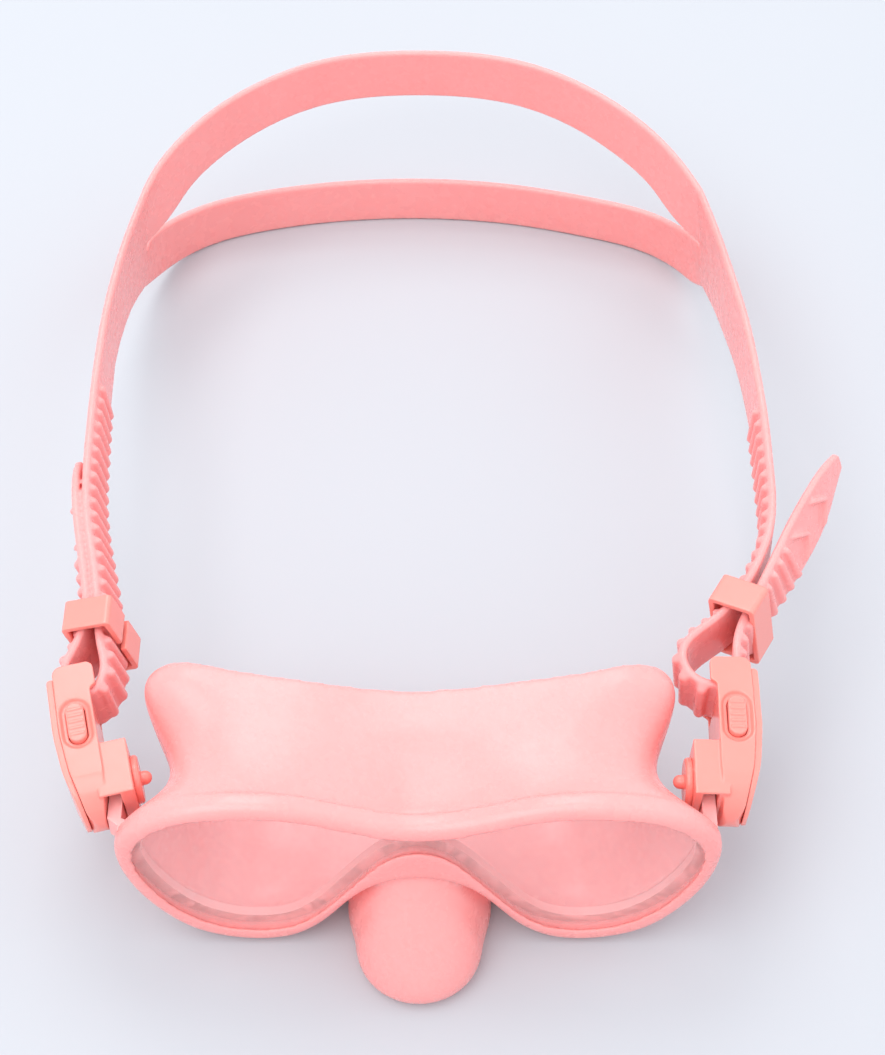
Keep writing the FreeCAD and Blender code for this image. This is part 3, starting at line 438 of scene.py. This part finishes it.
def ribbon(name, stations, relief=None, step=0.35, across=34):
    """A band along the stations with round edges; relief raises one face, in mm."""
    low = np.array([(x + lean, y + FORWARD, a) for x, y, lean, a, b in stations])
    high = np.array([(x, y + FORWARD, b) for x, y, lean, a, b in stations])
    params = chords((low + high) / 2)
    at = np.linspace(0, params[-1], max(8, int(params[-1] / step)))
    low = cubic(low, params, at)
    high = cubic(high, params, at)
    middle = (low + high) / 2
    along = np.gradient(middle, axis=0)
    along /= np.linalg.norm(along, axis=1)[:, None]
    width = np.linalg.norm(high - low, axis=1)
    up = (high - low) / width[:, None]
    face = np.cross(along, up)
    face /= np.linalg.norm(face, axis=1)[:, None]
    # section: up the front face, round the top edge, down the back face, round the foot
    fractions = np.linspace(-1, 1, across)
    ring = [(f, 1) for f in fractions] + [(f, -1) for f in fractions[::-1]]
    verts = []
    for f, way in ring:
        edge = np.minimum(1.0, (1 - abs(f)) * width / 2 / EDGE_ROUND)
        half = THICK / 2 * np.sqrt(np.clip(1 - (1 - edge) ** 2, 0.04, 1))
        lift = relief(at, f * width / 2, width) if relief and way == relief.way else 0.0
        verts.append(middle + up * (f * width / 2)[:, None] + face * (way * (half + lift))[:, None])
    count, rows = len(ring), len(at)
    points = np.stack(verts, 1).reshape(-1, 3) * MM
    faces = []
    for i in range(rows - 1):
        here = i * count
        there = here + count
        for j in range(count):
            k = (j + 1) % count
            faces.append((here + j, here + k, there + k, there + j))
    faces.append(tuple(range(count))[::-1])
    faces.append(tuple((rows - 1) * count + j for j in range(count)))
    return make_object(name, points, faces)


def bump_profile(distance, half):
    """A round-topped rib: 1 on its crest, 0 beyond its half width."""
    return np.sqrt(np.clip(1 - (distance / half) ** 2, 0, 1))


RIB_PITCH = 4.5
RIB_RISE = 1.75
RIB_REACH = 7.7
RIB_END = 1.2
ARROW_RISE = 1.5
ARROW_SLOPE = 0.9
RIDGE_HALF = 1.3


class Ribs:
    """Cross ribs at an even pitch on one face, with arrows towards a long tail's tip."""

    def __init__(self, way, start, finish, arrows=()):
        self.way = way
        self.start = start
        self.finish = finish
        self.arrows = arrows

    def __call__(self, s, w, width):
        phase = (s - self.start) / RIB_PITCH
        off = np.abs(phase - np.round(phase)) * RIB_PITCH
        inside = (s > self.start - 1) & (s < self.finish)
        reach = np.clip((RIB_REACH - np.abs(w)) / RIB_END, 0, 1)
        lift = np.where(inside, RIB_RISE * bump_profile(off, RIDGE_HALF) * np.sqrt(reach), 0)
        for place, length in self.arrows:
            arm = np.abs(s - place - np.abs(w) * ARROW_SLOPE)
            ends = np.sqrt(np.clip((length - np.abs(w)) / 1.0, 0, 1))
            lift = np.maximum(lift, ARROW_RISE * bump_profile(arm, RIDGE_HALF) * ends)
        return lift

# Along each side's run from the tail's tip, in mm: where the ribs start and finish, and the
# arrows as (place, reach to each side).
RIB_SPAN = {"right": (38.0, 194.0), "left": (36.0, 186.0)}
ARROWS = {"right": ((14.0, 6.5), (27.0, 6.5)), "left": ((13.0, 6.0), (25.0, 6.5))}
pieces = []
for side, way in (("right", -1), ("left", 1)):
    run = TAIL[side] + roller_turn(side) + LOOP[side] + SIDE[side][:2]
    start, finish = RIB_SPAN[side]
    pieces.append(ribbon("tail_" + side, run, Ribs(way, start, finish, ARROWS[side])))
    pieces.append(ribbon("side_" + side, LOOP[side][-1:] + SIDE[side], step=0.8))


def split_end(side, share):
    """One band's root at the split, as a share of the whole width from its lower edge."""
    x, y, lean, low, high = SIDE[side][-1]
    a, b = share
    tall = high - low
    return (x + lean * (1 - b), y, lean * (b - a), low + tall * a, low + tall * b)


UPPER_SHARE = (0.4615, 1.0)
LOWER_SHARE = (0.0, 0.3982)
for name, band, share in (("upper", UPPER, UPPER_SHARE), ("lower", LOWER, LOWER_SHARE)):
    middle = [(x, y, 0.0, low, high) for x, y, low, high in band]
    stations = [split_end("right", share)] + middle + [split_end("left", share)]
    pieces.append(ribbon("band_" + name, stations, step=0.8))

verts, faces = [], []
for piece in pieces:
    shift = len(verts)
    verts += [tuple(v.co) for v in piece.data.vertices]
    faces += [tuple(i + shift for i in f.vertices) for f in piece.data.polygons]
    bpy.data.objects.remove(piece)
strap = make_object("soft_strap", verts, faces)
modified(strap, remesh_steps(0.4, 2))
dress(strap, "strap")

# ---------------------------------------------------------------- moulded plastic
# Half height of a housing, and its button's middle and size, in the buckle's own frame (mm).
BODY_HALF = 10.3
BUTTON = (8.0, 13.8)
BUTTON_SIZE = (11.0, 4.6)
DISH_DEPTH = 0.8


def recessed(obj, side):
    """A soft dish pressed into both faces of a housing round its button."""
    p = get_points(obj) / MM
    sign = 1 if side == "right" else -1
    turn = math.radians(sign * YAW[side])
    x = p[:, 0] - PIN[side][0]
    y = p[:, 1] - PIN[side][1]
    out = sign * (x * math.cos(turn) - y * math.sin(turn)) - BUTTON[0]
    along = x * math.sin(turn) + y * math.cos(turn) - BUTTON[1]
    z = p[:, 2] - LENS_ORIGIN[2]
    straight = (BUTTON_SIZE[0] - BUTTON_SIZE[1]) / 2
    gap = np.hypot(out, np.maximum(np.abs(along) - straight, 0)) - BUTTON_SIZE[1] / 2
    near_face = smooth_step(np.abs(z), BODY_HALF - 2, BODY_HALF - 0.6)
    dish = DISH_DEPTH * (1 - smooth_step(gap, 0.9, 1.9)) * near_face
    p[:, 2] -= np.sign(z) * dish
    set_points(obj, p * MM)
    return obj


for side in ("left", "right"):
    dress(recessed(softened("buckle_base_" + side, 0.24, 2), side), "buckle_base_" + side)
    dress(softened("buckle_cover_" + side, 0.22, 3), "buckle_cover_" + side)
    dress(softened("keeper_" + side, 0.22, 4), "keeper_" + side)
    dress(softened("swivel_cap_" + side, 0.18, 2), "swivel_cap_" + side)
    for level in ("upper", "lower"):
        node_name = "button_%s_%s" % (level, side)
        dress(softened(node_name, 0.1, 1), node_name)

# ---------------------------------------------------------------- stage, light and camera
floor = make_object("floor", [(-3, -3, 0), (3, -3, 0), (3, 3, 0), (-3, 3, 0)], [(0, 1, 2, 3)])
g = Graph("pale_floor")
pale = g.colours(g.noise(3, 2), (0.505, 0.525, 0.555), (0.515, 0.535, 0.565))
g.link(pale, g.shader.inputs["Base Color"])
g.put(Roughness=0.9)
floor.data.materials.append(g.material)

world = bpy.data.worlds.new("studio")
world.use_nodes = True
world.node_tree.nodes["Background"].inputs["Color"].default_value = (0.93, 0.95, 1.0, 1)
world.node_tree.nodes["Background"].inputs["Strength"].default_value = 1.15
bpy.context.scene.world = world


def area_light(name, place, target, size, power, colour=(1, 1, 1)):
    data = bpy.data.lights.new(name, "AREA")
    data.size = size
    data.energy = power
    data.color = colour
    light = bpy.data.objects.new(name, data)
    bpy.context.scene.collection.objects.link(light)
    z = np.array(place) - np.array(target)
    z = z / np.linalg.norm(z)
    x = np.cross([0, 1, 0.001], z)
    x /= np.linalg.norm(x)
    y = np.cross(z, x)
    m = np.eye(4)
    m[:3, 0], m[:3, 1], m[:3, 2], m[:3, 3] = x, y, z, place
    light.matrix_world = Matrix(m.tolist())


area_light("key", (-0.35, -0.15, 1.1), (0, 0.1, 0), size=0.9, power=6.5)
area_light("fill", (0.9, 0.5, 0.9), (0, 0.1, 0), size=1.1, power=2.0, colour=(0.97, 0.98, 1.0))
area_light("back", (-0.12, 0.7, 1.0), (0, 0.05, 0), size=0.5, power=3.0)

LENS_LENGTH = 63.13
SENSOR_WIDTH = 36.0
CAMERA_PLACE = (0.00602, -0.17622, 0.46473)
CAMERA_TILT = 34
camera_data = bpy.data.cameras.new("photo_view")
camera_data.lens = LENS_LENGTH
camera_data.sensor_width = SENSOR_WIDTH
camera_data.clip_start = 0.01
camera = bpy.data.objects.new("photo_view", camera_data)
bpy.context.scene.collection.objects.link(camera)
camera.location = CAMERA_PLACE
camera.rotation_euler = (math.radians(CAMERA_TILT), 0, 0)
bpy.context.scene.camera = camera
bpy.context.scene.view_settings.view_transform = "Standard"
